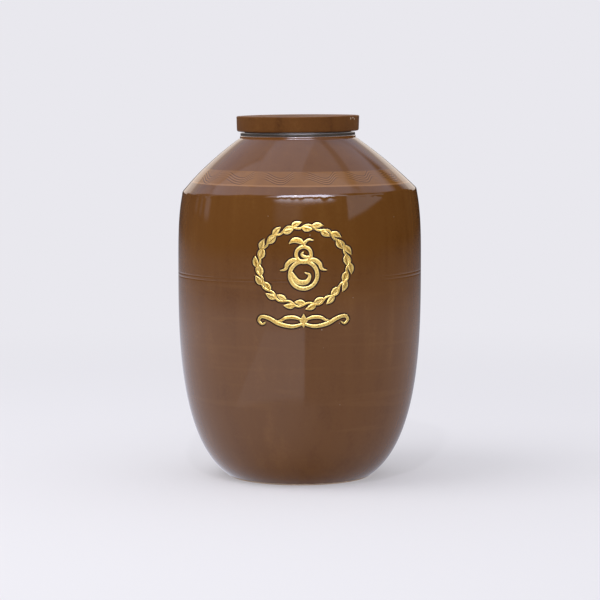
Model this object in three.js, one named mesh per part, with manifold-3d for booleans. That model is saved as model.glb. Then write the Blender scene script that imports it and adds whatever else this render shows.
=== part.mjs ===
// A large stoneware wine jar with a flat disc lid, in millimetres, +Z up.
// The origin is the centre of the foot, and the front of the jar, with its gold ornament, faces -Y.
// The jar is made of two turned sections luted together at a seam, a silicone ring that seals the
// mouth, a loose lid, and three gold ornaments that stand a little proud of the glaze.
import * as THREE from "three";
import { mergeVertices } from "three/addons/utils/BufferGeometryUtils.js";
import Module from "manifold-3d";

// Driving dimensions of the jar
const BELLY_RADIUS = 168.2;
const BELLY_HEIGHT = 289;
const LOWER_REACH = 305.4; // the lower curve would close on the axis this far below the belly
const LOWER_POWER = 2.78;
const LOWER_ROOT = 3.51;
const EDGE_HEIGHT = 398.5; // the crease between the upright wall and the shoulder
const EDGE_RADIUS = 161.4;
const EDGE_ROUND = 4;
const UPPER_POWER = 3.5; // how late the wall above the belly turns in
const SHOULDER_BULGE = 3; // height of the shoulder's crown over its chord
const NECK_RADIUS = 79.8;
const NECK_FOOT_HEIGHT = 470;
const NECK_FILLET = 2;
const RIM_HEIGHT = 473;
const RIM_ROUND = 1.5;
const BORE_RADIUS = 68;
const BORE_DEPTH = 15;
const WALL = 11;
const FLOOR_HEIGHT = 15;
const FLOOR_ROUND = 6;
const FLOOR_CORNER = 9; // the floor's corner starts this far in from the inner wall's lowest point
const INNER_WALL_LOW = 16; // outer height level with the inner wall's lowest point
const SEAM_HEIGHT = 285; // where the two sections were luted together
const SEAM_BEVEL = 0.8;
const PLAIN_MARGIN = 20; // stretch of wall beside a joint or an edge that needs no more points
const FOOT_HEIGHT = 2.5;
const FOOT_BEVEL = 2.3;
const FOOT_WIDTH = 14; // flat of the unglazed foot ring
const FOOT_RECESS = 3; // how far the underside stands clear inside the foot ring

// Driving dimensions of the lid and its seal
const TOTAL_HEIGHT = 500;
const LID_RADIUS = 84.8;
const LID_FLARE = 0.6; // the lid is this much narrower at its lower edge
const LID_THICKNESS = 21;
const LID_TOP_ROUND = 1.3;
const LID_BOTTOM_ROUND = 2.8;
const LID_RECESS_RADIUS = 57;
const LID_RECESS_DEPTH = 9;
const SPIGOT_RADIUS = 65.3; // the locating ring under the lid
const SPIGOT_DROP = 20; // how far it reaches below the lid's rim
const SPIGOT_BEVEL = 1.5;
const SEAL_RADIUS = 79.2;
const SEAL_THICKNESS = 4;
const SEAL_BEAD_RADIUS = 73.5; // the raised part that the lid presses on
const SEAL_SKIRT_DROP = 8;
const SEAL_CLEARANCE = 0.35; // between the skirt and what it slides past

// Driving dimensions of the gold ornaments, laid out on a flat front view
const ORNAMENT_TURN = THREE.MathUtils.degToRad(1.8); // the ornament sits a little to the right
const ORNAMENT_GAP = 0.3;
const ORNAMENT_THICKNESS = 0.5;
const ORNAMENT_LOW = 215;
const ORNAMENT_HIGH = 375;
const VINE_CENTRE = 305.8; // height of the middle of the vine ring
const VINE_HALF_WIDTH = 60;
const VINE_HALF_HEIGHT = 52;
const VINE_WAVES = 14;
const VINE_SWING = 2.4;
const VINE_STEM = 2.4;
const LEAF_LENGTH = 15.5;
const LEAF_WIDTH = 7.2;
const LEAF_LEAN = THREE.MathUtils.degToRad(36);
const GOURD_CENTRE = 306.5;
const SCROLL_CENTRE = 232.6;

const SEGMENTS = 64;
const CORNER_STEPS = 2;

const wasm = await Module();
wasm.setup();

const GLAZE = { color: 0x6b482d, roughness: 0.18, metalness: 0 };
const LID_GLAZE = { color: 0x644123, roughness: 0.25, metalness: 0 };
const SILICONE = { color: 0x8d8478, roughness: 0.55, metalness: 0 };
const GOLD = { color: 0xc8a54b, roughness: 0.4, metalness: 0.85 };

// A point of a turned profile: radius, height and how much the corner there is rounded.
function corner(radius, height, round = 0) {
  return { at: new THREE.Vector2(radius, height), round };
}

// Replaces each rounded corner by a curve that leaves and meets its two sides smoothly.
function roundCorners(corners) {
  return corners.flatMap(({ at, round }, i) => {
    const before = corners[i - 1];
    const after = corners[i + 1];
    if (!round || !before || !after) return [at];
    const start = at.clone().add(before.at.clone().sub(at).setLength(round));
    const end = at.clone().add(after.at.clone().sub(at).setLength(round));
    return new THREE.QuadraticBezierCurve(start, at, end).getPoints(CORNER_STEPS);
  });
}

// A body of revolution about +Z from a profile of (radius, height) points.
function turned(points) {
  return new THREE.LatheGeometry(points, SEGMENTS).rotateX(Math.PI / 2);
}

// The same for a ring, whose profile closes on itself.
function turnedRing(points) {
  return turned([...points, points[0].clone()]);
}

// Radius of the outside of the wall: a superellipse below the belly, a late inward turn above it.
function wallRadius(height) {
  if (height < BELLY_HEIGHT) {
    const fall = ((BELLY_HEIGHT - height) / LOWER_REACH) ** LOWER_POWER;
    return BELLY_RADIUS * (1 - fall) ** (1 / LOWER_ROOT);
  }
  const rise = (height - BELLY_HEIGHT) / (EDGE_HEIGHT - BELLY_HEIGHT);
  return BELLY_RADIUS - (BELLY_RADIUS - EDGE_RADIUS) * rise ** UPPER_POWER;
}

// The point of the inner surface one wall thickness inside the outer wall at this height.
function insideWall(height) {
  const slope = wallRadius(height + 0.5) - wallRadius(height - 0.5);
  const shift = WALL / Math.hypot(1, slope);
  return corner(wallRadius(height) - shift, height + shift * slope);
}

// A point of the shoulder, from 0 at the crease to 1 at the neck, set in by a depth.
function shoulderPoint(along, depth = 0) {
  const run = NECK_RADIUS - EDGE_RADIUS;
  const rise = NECK_FOOT_HEIGHT - EDGE_HEIGHT;
  const chord = Math.hypot(run, rise);
  const out = 4 * SHOULDER_BULGE * along * (1 - along) - depth;
  const radius = EDGE_RADIUS + run * along + (out * rise) / chord;
  return corner(radius, EDGE_HEIGHT + rise * along - (out * run) / chord);
}

function evenly(from, to, count) {
  return Array.from({ length: count + 1 }, (_, i) => from + ((to - from) * i) / count);
}

// Heights that crowd together towards the foot, where the wall turns in fastest.
function crowdedLow(from, to, count) {
  return evenly(0, 1, count).map((t) => from + (to - from) * t ** 1.8);
}

function lowerSection() {
  const seamOutside = wallRadius(SEAM_HEIGHT);
  const footEdge = wallRadius(FOOT_HEIGHT) - FOOT_BEVEL;
  const inside = insideWall(SEAM_HEIGHT).at.x;
  const outerWall = crowdedLow(FOOT_HEIGHT, SEAM_HEIGHT - 2 * SEAM_BEVEL, 13);
  const innerWall = crowdedLow(INNER_WALL_LOW, SEAM_HEIGHT - PLAIN_MARGIN, 8).map(insideWall);
  return turned(
    roundCorners([
      corner(0, FOOT_RECESS),
      corner(footEdge - FOOT_WIDTH - FOOT_RECESS, FOOT_RECESS),
      corner(footEdge - FOOT_WIDTH, 0),
      corner(footEdge, 0),
      ...outerWall.map((z) => corner(wallRadius(z), z)),
      corner(seamOutside - SEAM_BEVEL, SEAM_HEIGHT),
      corner(inside, SEAM_HEIGHT),
      ...innerWall.toReversed(),
      corner(innerWall[0].at.x - FLOOR_CORNER, FLOOR_HEIGHT, FLOOR_ROUND),
      corner(0, FLOOR_HEIGHT),
    ]),
  );
}

function upperSection() {
  const seamOutside = wallRadius(SEAM_HEIGHT);
  const inside = insideWall(SEAM_HEIGHT).at.x;
  const wallHeights = evenly(SEAM_HEIGHT + 2 * SEAM_BEVEL, EDGE_HEIGHT - PLAIN_MARGIN / 2, 5);
  return turnedRing(
    roundCorners([
      corner(inside, SEAM_HEIGHT),
      corner(seamOutside - SEAM_BEVEL, SEAM_HEIGHT),
      ...wallHeights.map((z) => corner(wallRadius(z), z)),
      corner(EDGE_RADIUS, EDGE_HEIGHT, EDGE_ROUND),
      ...evenly(0.14, 0.9, 4).map((t) => shoulderPoint(t)),
      corner(NECK_RADIUS, NECK_FOOT_HEIGHT - 1, NECK_FILLET),
      corner(NECK_RADIUS, RIM_HEIGHT, RIM_ROUND),
      corner(BORE_RADIUS, RIM_HEIGHT, RIM_ROUND),
      corner(BORE_RADIUS, RIM_HEIGHT - BORE_DEPTH),
      ...evenly(0.86, 0.1, 4).map((t) => shoulderPoint(t, WALL)),
      ...evenly(EDGE_HEIGHT - PLAIN_MARGIN, SEAM_HEIGHT + PLAIN_MARGIN, 2).map(insideWall),
    ]),
  );
}

function lid() {
  const rimHeight = TOTAL_HEIGHT - LID_THICKNESS;
  return turned(
    roundCorners([
      corner(0, rimHeight + LID_RECESS_DEPTH),
      corner(LID_RECESS_RADIUS, rimHeight + LID_RECESS_DEPTH),
      corner(LID_RECESS_RADIUS, rimHeight - SPIGOT_DROP),
      corner(SPIGOT_RADIUS, rimHeight - SPIGOT_DROP, SPIGOT_BEVEL),
      corner(SPIGOT_RADIUS, rimHeight),
      corner(LID_RADIUS - LID_FLARE, rimHeight, LID_BOTTOM_ROUND),
      corner(LID_RADIUS, TOTAL_HEIGHT, LID_TOP_ROUND),
      corner(0, TOTAL_HEIGHT),
    ]),
  );
}

// The flange lies on the jar's rim, the bead above it carries the lid, and the skirt hangs in the bore.
function sealRing() {
  const top = TOTAL_HEIGHT - LID_THICKNESS;
  const flange = RIM_HEIGHT + SEAL_THICKNESS;
  const skirtOutside = BORE_RADIUS - SEAL_CLEARANCE;
  const skirtInside = SPIGOT_RADIUS + SEAL_CLEARANCE;
  return turnedRing(
    roundCorners([
      corner(skirtInside, RIM_HEIGHT - SEAL_SKIRT_DROP),
      corner(skirtOutside, RIM_HEIGHT - SEAL_SKIRT_DROP),
      corner(skirtOutside, RIM_HEIGHT),
      corner(SEAL_RADIUS, RIM_HEIGHT, SEAL_CLEARANCE * 2),
      corner(SEAL_RADIUS, flange, SEAL_CLEARANCE * 2),
      corner(SEAL_BEAD_RADIUS, flange),
      corner(SEAL_BEAD_RADIUS, top),
      corner(skirtInside, top),
    ]),
  );
}

function solidOf(geometry) {
  const bare = geometry.clone().deleteAttribute("normal").deleteAttribute("uv");
  const merged = mergeVertices(bare, 1e-3);
  const vertProperties = new Float32Array(merged.attributes.position.array);
  const triVerts = new Uint32Array(merged.index.array);
  return new wasm.Manifold(new wasm.Mesh({ numProp: 3, vertProperties, triVerts }));
}

function geometryOf(solid) {
  const { vertProperties, triVerts } = solid.getMesh();
  const geometry = new THREE.BufferGeometry();
  geometry.setAttribute("position", new THREE.BufferAttribute(vertProperties, 3));
  geometry.setIndex(new THREE.BufferAttribute(triVerts, 1));
  return geometry.toNonIndexed();
}

// The thin layer over the outside of the jar that the ornaments are cut from.
function ornamentLayer() {
  const heights = evenly(ORNAMENT_LOW, ORNAMENT_HIGH, 6);
  const skin = (out) => heights.map((z) => new THREE.Vector2(wallRadius(z) + out, z));
  const outer = skin(ORNAMENT_GAP + ORNAMENT_THICKNESS);
  return solidOf(turnedRing([...outer, ...skin(ORNAMENT_GAP).reverse()]));
}

// A prism that runs from front to back through an outline drawn as a front view.
function prismOf(outline, height) {
  const shape = new THREE.Shape(outline);
  const depth = BELLY_RADIUS * 0.6;
  const prism = new THREE.ExtrudeGeometry(shape, { depth, bevelEnabled: false });
  prism.rotateX(Math.PI / 2).translate(0, depth - BELLY_RADIUS * 1.2, height);
  return solidOf(prism.rotateZ(ORNAMENT_TURN));
}

// The outline of a brush stroke along a smooth line, whose half-width is given at each end and middle.
function stroke(points, widths, steps = 10) {
  const line = new THREE.SplineCurve(points.map(([x, y]) => new THREE.Vector2(x, y)));
  const left = [];
  const right = [];
  for (const t of evenly(0, 1, steps)) {
    const half = new THREE.QuadraticBezierCurve(
      new THREE.Vector2(0, widths[0]),
      new THREE.Vector2(0.5, widths[1]),
      new THREE.Vector2(1, widths[2]),
    ).getPoint(t).y;
    const at = line.getPointAt(t);
    const along = line.getTangentAt(t);
    left.push(new THREE.Vector2(at.x - along.y * half, at.y + along.x * half));
    right.unshift(new THREE.Vector2(at.x + along.y * half, at.y - along.x * half));
  }
  return [...right, ...left];
}

function mirrored(points) {
  return points.map(([x, y]) => [-x, y]);
}

// Adds outlines to a flat ornament, and lays the whole on the jar.
function laidOnJar(flat, outlines, height) {
  const whole = outlines.reduce((sum, outline) => sum.add(prismOf(outline, height)), flat);
  return geometryOf(whole.intersect(ornamentLayer()));
}

// A point of the wavy stem at this angle round the ring, moved out by an offset.
function stemPoint(angle, out = 0) {
  const swing = VINE_SWING * Math.sin(VINE_WAVES * angle) + out;
  const radius = new THREE.Vector2(VINE_HALF_WIDTH * Math.cos(angle), VINE_HALF_HEIGHT * Math.sin(angle));
  return radius.setLength(radius.length() + swing);
}

// A pointed leaf that leaves the stem clockwise and leans outwards or inwards.
function vineLeaf(angle, side) {
  const base = stemPoint(angle);
  const ahead = stemPoint(angle - 0.02).sub(base).normalize();
  const lean = ahead.clone().rotateAround(new THREE.Vector2(), side * LEAF_LEAN);
  const across = new THREE.Vector2(-lean.y, lean.x);
  const edge = (t, sign) => {
    const swell = (sign * LEAF_WIDTH * Math.sin(Math.PI * t ** 0.8)) / 2;
    return base.clone().addScaledVector(lean, LEAF_LENGTH * t).addScaledVector(across, swell);
  };
  const there = evenly(0, 1, 5).map((t) => edge(t, -1));
  const back = evenly(1, 0, 5).slice(1, -1).map((t) => edge(t, 1));
  return [...there, ...back];
}

function vineRing() {
  const angles = evenly(0, 2 * Math.PI, VINE_WAVES * 6).slice(0, -1);
  const outside = angles.map((a) => stemPoint(a, VINE_STEM / 2));
  const inside = angles.map((a) => stemPoint(a, -VINE_STEM / 2));
  const spacing = (2 * Math.PI) / VINE_WAVES;
  const leaves = evenly(0, VINE_WAVES - 1, VINE_WAVES - 1).flatMap((wave) => [
    vineLeaf((wave + 0.1) * spacing, 1),
    vineLeaf((wave + 0.6) * spacing, -1),
  ]);
  const stem = prismOf(outside, VINE_CENTRE).subtract(prismOf(inside, VINE_CENTRE));
  return laidOnJar(stem, leaves, VINE_CENTRE);
}

function disc(x, y, radius) {
  return evenly(0, 2 * Math.PI, 24)
    .slice(0, -1)
    .map((a) => new THREE.Vector2(x + radius * Math.cos(a), y + radius * Math.sin(a)));
}

// A bottle gourd drawn with brush strokes: two round chambers, a tied waist, a swirl inside, a leaf.
function gourd() {
  const big = { y: -13, outside: 20.5, inside: 15.8 };
  const small = { y: 14.5, outside: 12, inside: 7.8 };
  const tail = [[2, 4.6], [13, 7], [21, 2], [24, -5], [31, -7]];
  const chambers = prismOf(disc(0, big.y, big.outside), GOURD_CENTRE)
    .add(prismOf(disc(0, small.y, small.outside), GOURD_CENTRE))
    .subtract(prismOf(disc(0, big.y, big.inside), GOURD_CENTRE))
    .subtract(prismOf(disc(0, small.y, small.inside), GOURD_CENTRE));
  const strokes = [
    stroke([[-9, 4.6], [0, 4], [9, 4.6]], [1.6, 2.6, 1.6], 6),
    stroke(tail, [1.4, 4.6, 0.3]),
    stroke(mirrored(tail), [1.4, 4.6, 0.3]),
    stroke([[-17.5, -9], [-8, -21.5], [4, -22], [8, -13.5], [1.5, -9.5]], [2.4, 5, 0.3]),
    stroke([[8.5, 11], [3, 10.6], [-2.5, 14], [0, 18]], [1.6, 3, 0.3], 8),
    stroke([[0, 24], [1, 29], [6, 33.5], [13, 33]], [1.6, 2.4, 0.4], 8),
    stroke([[1, 27], [-6, 32.5], [-13, 33], [-19, 29]], [0.8, 6.6, 0.3], 8),
  ];
  return laidOnJar(chambers, strokes, GOURD_CENTRE);
}

// A pair of cloud scrolls that run out from a lozenge and curl in at their ends.
function cloudScroll() {
  const long = [[0, -4], [15, -7.4], [32, -4], [45, 3], [55, 5.4], [59, 0.5], [55, -4.6], [50, -2]];
  const short = [[2, 1], [12, 4.6], [23, 4.2], [30, 0.4], [38, -0.4]];
  const lozenge = [[0, -9.2], [5.4, 0], [0, 9.2], [-5.4, 0]].map(([x, y]) => new THREE.Vector2(x, y));
  const strokes = [
    stroke(long, [1.4, 3.8, 0.8], 20),
    stroke(mirrored(long), [1.4, 3.8, 0.8], 20),
    stroke(short, [1.2, 3.4, 0.3]),
    stroke(mirrored(short), [1.2, 3.4, 0.3]),
  ];
  return laidOnJar(prismOf(lozenge, SCROLL_CENTRE), strokes, SCROLL_CENTRE);
}

function piece(name, geometry, look) {
  const mesh = new THREE.Mesh(geometry, new THREE.MeshStandardMaterial(look));
  mesh.name = name;
  return mesh;
}

const jar = new THREE.Group();
jar.add(
  piece("jar_lower_section", lowerSection(), GLAZE),
  piece("jar_upper_section", upperSection(), GLAZE),
  piece("lid", lid(), LID_GLAZE),
  piece("seal_ring", sealRing(), SILICONE),
  piece("gold_vine_ring", vineRing(), GOLD),
  piece("gold_gourd", gourd(), GOLD),
  piece("gold_cloud_scroll", cloudScroll(), GOLD),
);

export default jar;
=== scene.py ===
"""Looks for a lidded stoneware wine jar: its glaze, combed band, lid, seal ring and gold ornament.

Everything is in metres in the jar's own frame: +Z up, the foot on z = 0, the front towards -Y.
"""

import math

import bpy
import numpy as np
from mathutils import Matrix, Vector


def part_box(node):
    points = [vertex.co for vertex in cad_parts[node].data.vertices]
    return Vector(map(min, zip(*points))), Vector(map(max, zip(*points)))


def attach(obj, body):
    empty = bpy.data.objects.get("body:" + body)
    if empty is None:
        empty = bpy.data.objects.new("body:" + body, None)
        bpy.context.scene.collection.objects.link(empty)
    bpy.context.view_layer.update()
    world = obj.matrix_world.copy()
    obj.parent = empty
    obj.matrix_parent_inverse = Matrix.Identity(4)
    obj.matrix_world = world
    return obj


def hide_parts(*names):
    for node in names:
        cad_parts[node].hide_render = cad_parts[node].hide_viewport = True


bl_info = {
    "name": "Stoneware Wine Jar",
    "version": (1, 0, 0),
    "blender": (4, 5, 0),
    "location": "View3D > Sidebar > Wine Jar",
    "description": "Builds a glazed stoneware wine jar with a disc lid and a gold ornament",
    "category": "Object",
}

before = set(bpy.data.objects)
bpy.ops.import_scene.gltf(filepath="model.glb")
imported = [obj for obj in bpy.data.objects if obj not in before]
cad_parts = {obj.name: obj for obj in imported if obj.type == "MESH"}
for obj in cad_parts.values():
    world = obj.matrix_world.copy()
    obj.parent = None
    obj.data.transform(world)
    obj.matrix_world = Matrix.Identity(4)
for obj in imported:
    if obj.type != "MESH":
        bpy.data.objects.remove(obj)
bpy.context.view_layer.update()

MM = 0.001
TURN = 2 * math.pi

LOWER_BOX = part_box("jar_lower_section")
UPPER_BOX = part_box("jar_upper_section")
LID_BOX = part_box("lid")
SEAL_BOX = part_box("seal_ring")

# The jar's profile, as it was designed.
BELLY_RADIUS = LOWER_BOX[1].x
BELLY_HEIGHT = 289 * MM
LOWER_REACH = 305.4 * MM
LOWER_POWER = 2.78
LOWER_ROOT = 3.51
EDGE_HEIGHT = 398.5 * MM
EDGE_RADIUS = 161.4 * MM
EDGE_ROUND = 2.6 * MM
UPPER_POWER = 3.5
SHOULDER_BULGE = 3 * MM
NECK_RADIUS = 79.8 * MM
NECK_FOOT_HEIGHT = 470 * MM
RIM_HEIGHT = UPPER_BOX[1].z
BORE_RADIUS = 68 * MM
BORE_DEPTH = 15 * MM
WALL = 11 * MM
FLOOR_HEIGHT = 15 * MM
SEAM_HEIGHT = LOWER_BOX[1].z
FOOT_HEIGHT = 2.5 * MM
FOOT_WIDTH = 14 * MM
FOOT_RECESS = 3 * MM
SEAM_HALF_RIDGE = 2.3 * MM
BAND_LOW = 409.3 * MM
BAND_HIGH = 428.4 * MM

# Small faults of a jar made by hand: its upper part is tilted and a little off the axis.
BODY_TILT = 0.0095
CREASE_TILT = 0.007
NECK_SHIFT = 2.5 * MM

# Pale spots on the front: how far right, how high, and their radius, in millimetres. The two at the neck, at
# 474 and 468 mm, are painted highlights; the others are bare spots in the glaze.
WALL_MARKS_AND_GLINTS = (
    (13.7, 346.6, 0.9), (12.4, 357.2, 0.7), (29.5, 220.5, 0.9), (-6.0, 474.0, 1.0), (-5.0, 468.0, 0.8),
    (-42.0, 371.0, 0.6), (71.0, 262.0, 0.6), (54.0, 118.0, 0.6),
)

# Vertices round each turned piece, and the angle past which an edge stays sharp.
LOWER_COLUMNS = 320
UPPER_COLUMNS = 560
LID_COLUMNS = 288
SEAL_COLUMNS = 240
SHARP_ANGLE = math.radians(40)

# Chips in the lid's glaze: angle round it, how far down, half-width and half-height in millimetres.
LID_CHIPS = (
    (1.03, 3.5, 0.8, 2.2), (1.1, 2.6, 1.3, 1.4), (1.16, 4.5, 0.7, 1.6), (0.62, 9.0, 0.6, 0.7),
    (-0.62, 0.6, 0.8, 1.0), (2.4, 1.0, 1.2, 1.4), (4.1, 2.0, 0.9, 1.6),
)

# The lid and its seal.
LID_RADIUS = LID_BOX[1].x
LID_TOP = LID_BOX[1].z
LID_UNDERSIDE = SEAL_BOX[1].z
LID_FLARE = 0.6 * MM
LID_RECESS_RADIUS = 57 * MM
LID_RECESS_DEPTH = 9 * MM
SPIGOT_RADIUS = 65.3 * MM
SEAL_RADIUS = SEAL_BOX[1].x
SEAL_FLANGE = 4 * MM
SEAL_BEAD_RADIUS = 73.5 * MM
SEAL_CLEARANCE = 0.35 * MM

# The gold ornament, laid out on a flat front view and turned a little to the right.
ORNAMENT_TURN = math.radians(1.8)
VINE_CENTRE = 305.8 * MM
VINE_HALF_WIDTH = 60 * MM
VINE_HALF_HEIGHT = 52 * MM
VINE_WAVES = 14
VINE_SWING = 2.4 * MM
VINE_STEM = 2.4 * MM
LEAF_LENGTH = 15.5 * MM
LEAF_WIDTH = 7.2 * MM
LEAF_LEAN = math.radians(36)
GOURD_CENTRE = 306.5 * MM
SCROLL_CENTRE = 232.6 * MM
ACROSS_STROKE = 13
STROKE_LIFT = 0.05 * MM
VEIN_WIDTH = 0.13
OUTLINE_RISE = 0.03 * MM
OUTLINE_SINK = 0.25 * MM
OUTLINE_EDGE = 1.5

# The studio.
CAMERA_YAW = math.radians(-0.009)
KEY_PLACE = (-1.25, -0.5, 2.3)
KEY_SIZE = 1.7
STROBE_PLACE = (-0.19, -2.1, 2.5)
STROBE_SIZE = 0.1
STROBE_POWER = 9.0
FLOOR_RADIUS = 3.2
FLOOR_RINGS = 60
FLOOR_SPOKES = 96


# ---------------------------------------------------------------- profiles


def wall_radius(height):
    """Outside of the wall: a superellipse that closes below the belly, and above the belly the
    belly radius less a share of the turn-in that grows with a power of the height."""
    fall = (np.clip(BELLY_HEIGHT - height, 0, None) / LOWER_REACH) ** LOWER_POWER
    rise = np.clip(height - BELLY_HEIGHT, 0, None) / (EDGE_HEIGHT - BELLY_HEIGHT)
    swell = BELLY_RADIUS * (1 - fall) ** (1 / LOWER_ROOT)
    return swell - (BELLY_RADIUS - EDGE_RADIUS) * rise**UPPER_POWER


def wall_points(heights, depth=0.0):
    """Points of the wall, moved inwards by a depth along the normal of the radius curve."""
    small = 0.1 * MM
    slope = (wall_radius(heights + small) - wall_radius(heights - small)) / (2 * small)
    shift = depth / np.hypot(1, slope)
    return np.column_stack([wall_radius(heights) - shift, heights + shift * slope])


def shoulder_points(along, depth=0.0):
    """Points of the shoulder from 0 at the crease to 1 at the neck: the chord between them, plus a
    parabolic crown across it, less a depth."""
    run = NECK_RADIUS - EDGE_RADIUS
    rise = NECK_FOOT_HEIGHT - EDGE_HEIGHT
    chord = math.hypot(run, rise)
    out = 4 * SHOULDER_BULGE * along * (1 - along) - depth
    radius = EDGE_RADIUS + run * along + out * rise / chord
    return np.column_stack([radius, EDGE_HEIGHT + rise * along - out * run / chord])


def arc_length(points):
    """Distance along a polyline at each of its points."""
    return np.concatenate([[0], np.cumsum(np.linalg.norm(np.diff(points, axis=0), axis=1))])


def resampled(path, known, wanted):
    """The rows of a path carried from known places along it to wanted ones."""
    return np.column_stack([np.interp(wanted, known, column) for column in path.T])


def unit(vectors):
    """The same vectors, one long."""
    return vectors / np.maximum(np.linalg.norm(vectors, axis=1, keepdims=True), 1e-12)


def bell(distance, width):
    """A smooth bump of height 1 at distance 0, as a bell curve of that width."""
    return np.exp(-((distance / width) ** 2))


def evenly_spaced(path, step):
    """The same polyline with points a fixed step apart along its length."""
    length = arc_length(path[:, :2])
    return resampled(path, length, np.linspace(0, length[-1], max(2, int(length[-1] / step))))


def softened(path, corners, step=0.2 * MM, passes=160):
    """Rounds a profile near its corners by averaging each point with its two neighbours again and
    again, with a weight that is largest at the corner and suits the radius asked for there."""
    fine = evenly_spaced(path, step)
    weight = np.zeros(len(fine))
    for radius_at, height_at, rounding in corners:
        near = np.hypot(fine[:, 0] - radius_at, fine[:, 1] - height_at)
        strength = min(0.45, (0.6 * rounding / step) ** 2 / (2 * passes))
        weight = np.maximum(weight, strength * bell(near, 2.5 * rounding))
    for _ in range(passes):
        pull = fine[:-2, :2] - 2 * fine[1:-1, :2] + fine[2:, :2]
        fine[1:-1, :2] += weight[1:-1, None] * pull
    return fine


def rows_with_spacing(path, spacing):
    """Picks rows of a fine profile so that neighbours stand about spacing(path) apart: the inverse
    spacing is summed along the length, and rows are taken at even steps of that sum."""
    steps = np.linalg.norm(np.diff(path[:, :2], axis=0), axis=1)
    wanted = spacing(path)
    total = np.concatenate([[0], np.cumsum(steps * 2 / (wanted[:-1] + wanted[1:]))])
    at = np.linspace(0, total[-1], int(math.ceil(total[-1])) + 1)
    return resampled(path, total, at)


def snapped(path, radius, height):
    """The same rows with the nearest one moved exactly onto a corner."""
    nearest = np.argmin(np.hypot(path[:, 0] - radius, path[:, 1] - height))
    path[nearest, :2] = radius, height
    return path


def labelled(points, outside):
    """Adds a third column that says whether a stretch is on the outside (1) or not (0)."""
    points = np.atleast_2d(np.array(points, float))
    return np.column_stack([points, np.full(len(points), float(outside))])


def profile_normals(path):
    """Unit normals to the right of the direction of travel, which is outwards on these profiles."""
    along = unit(np.gradient(path[:, :2], axis=0))
    return np.column_stack([along[:, 1], -along[:, 0]])


def smooth_step(value, low, high):
    """0 below a range, 1 above it, and an S-shaped cubic between."""
    part = np.clip((value - low) / (high - low), 0, 1)
    return part * part * (3 - 2 * part)


def leaned(points):
    """The maker's small faults: levels tilt up to the right by a slope that grows with height and is
    largest at the crease, and the neck stands a little to the left."""
    height = points[..., 2]
    slope = BODY_TILT * smooth_step(height, 120 * MM, 280 * MM)
    slope = slope + CREASE_TILT * bell(height - EDGE_HEIGHT, 14 * MM)
    moved = points.copy()
    moved[..., 2] += slope * points[..., 0]
    moved[..., 0] -= NECK_SHIFT * smooth_step(height, 380 * MM, 475 * MM)
    return moved


# ---------------------------------------------------------------- meshes


def grid_faces(rows, columns, wrap_rows, wrap_columns):
    """Quads of a grid of vertices numbered row by row, with either direction closed on itself."""
    row = np.arange(rows if wrap_rows else rows - 1)[:, None]
    column = np.arange(columns if wrap_columns else columns - 1)[None, :]
    next_row = (row + 1) % rows
    next_column = (column + 1) % columns
    corners = [row * columns + column, row * columns + next_column]
    corners += [next_row * columns + next_column, next_row * columns + column]
    return np.stack([np.broadcast_to(c, (row.size, column.size)) for c in corners], -1).reshape(-1, 4)


def grid_object(name, points, faces, attributes=None):
    """A mesh object from a grid of points, with only the points that its faces use."""
    used, index = np.unique(faces, return_inverse=True)
    chosen = {label: values.reshape(-1)[used] for label, values in (attributes or {}).items()}
    return mesh_object(name, points.reshape(-1, 3)[used], index.reshape(faces.shape), chosen)


def mesh_object(name, vertices, faces, attributes=None):
    """A smooth mesh object from an array of points and an array of quads. A quad that has lost a
    side at a pole becomes a triangle, because its repeated corner is dropped."""
    same = faces == np.roll(faces, -1, axis=1)
    keep = ~same
    totals = keep.sum(axis=1)
    whole = totals >= 3
    loops = faces[whole][keep[whole]]
    totals = totals[whole]
    mesh = bpy.data.meshes.new(name)
    mesh.vertices.add(len(vertices))
    mesh.vertices.foreach_set("co", np.asarray(vertices, np.float32).ravel())
    mesh.loops.add(len(loops))
    mesh.loops.foreach_set("vertex_index", loops.astype(np.int32))
    mesh.polygons.add(len(totals))
    starts = np.concatenate([[0], np.cumsum(totals)[:-1]]).astype(np.int32)
    mesh.polygons.foreach_set("loop_start", starts)
    for label, values in (attributes or {}).items():
        attribute = mesh.attributes.new(label, "FLOAT", "POINT")
        attribute.data.foreach_set("value", np.asarray(values, np.float32).ravel())
    mesh.update(calc_edges=True)
    mesh.validate()
    mesh.shade_smooth()
    mesh.set_sharp_from_angle(angle=SHARP_ANGLE)
    obj = bpy.data.objects.new(name, mesh)
    bpy.context.scene.collection.objects.link(obj)
    return obj


def turned_object(name, path, columns, relief=None, closed=False, attributes=None):
    """Turns a profile about +Z. relief(angle, radius, height, outside) moves a point along the
    profile's normal. attributes maps a name to a function of the same four arrays."""
    normals = profile_normals(path)
    if closed:
        path, normals = path[:-1], normals[:-1]
    angle = np.linspace(0, TURN, columns, endpoint=False)[None, :]
    radius, height, outside = (path[:, i][:, None] for i in range(3))
    shift = relief(angle, radius, height, outside) if relief else np.zeros((len(path), columns))
    ring = radius + normals[:, 0][:, None] * shift
    level = height + normals[:, 1][:, None] * shift
    points = np.stack([ring * np.sin(angle), -ring * np.cos(angle), level + 0 * angle], -1)
    faces = grid_faces(len(path), columns, closed, True)
    if not closed:
        faces = np.where(faces < columns, 0, faces)
        last = (len(path) - 1) * columns
        faces = np.where(faces >= last, last, faces)
    values = {
        label: np.broadcast_to(make(angle, radius, height, outside), shift.shape)
        for label, make in (attributes or {}).items()
    }
    return grid_object(name, leaned(points), faces, values)


# ---------------------------------------------------------------- relief


def smooth_noise(angle, height, seed, count, around, up):
    """A sum of random waves that closes round the jar: whole numbers of waves round it, up to
    `around`, and wavelengths up it of `up` or more, scaled to stay within about 1."""
    draw = np.random.default_rng(seed)
    total = 0
    for _ in range(count):
        turns = draw.integers(0, around + 1)
        climb = draw.uniform(-1, 1) * TURN / up
        total = total + np.sin(turns * angle + climb * height + draw.uniform(0, TURN))
    return total / math.sqrt(count * 2)


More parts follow.
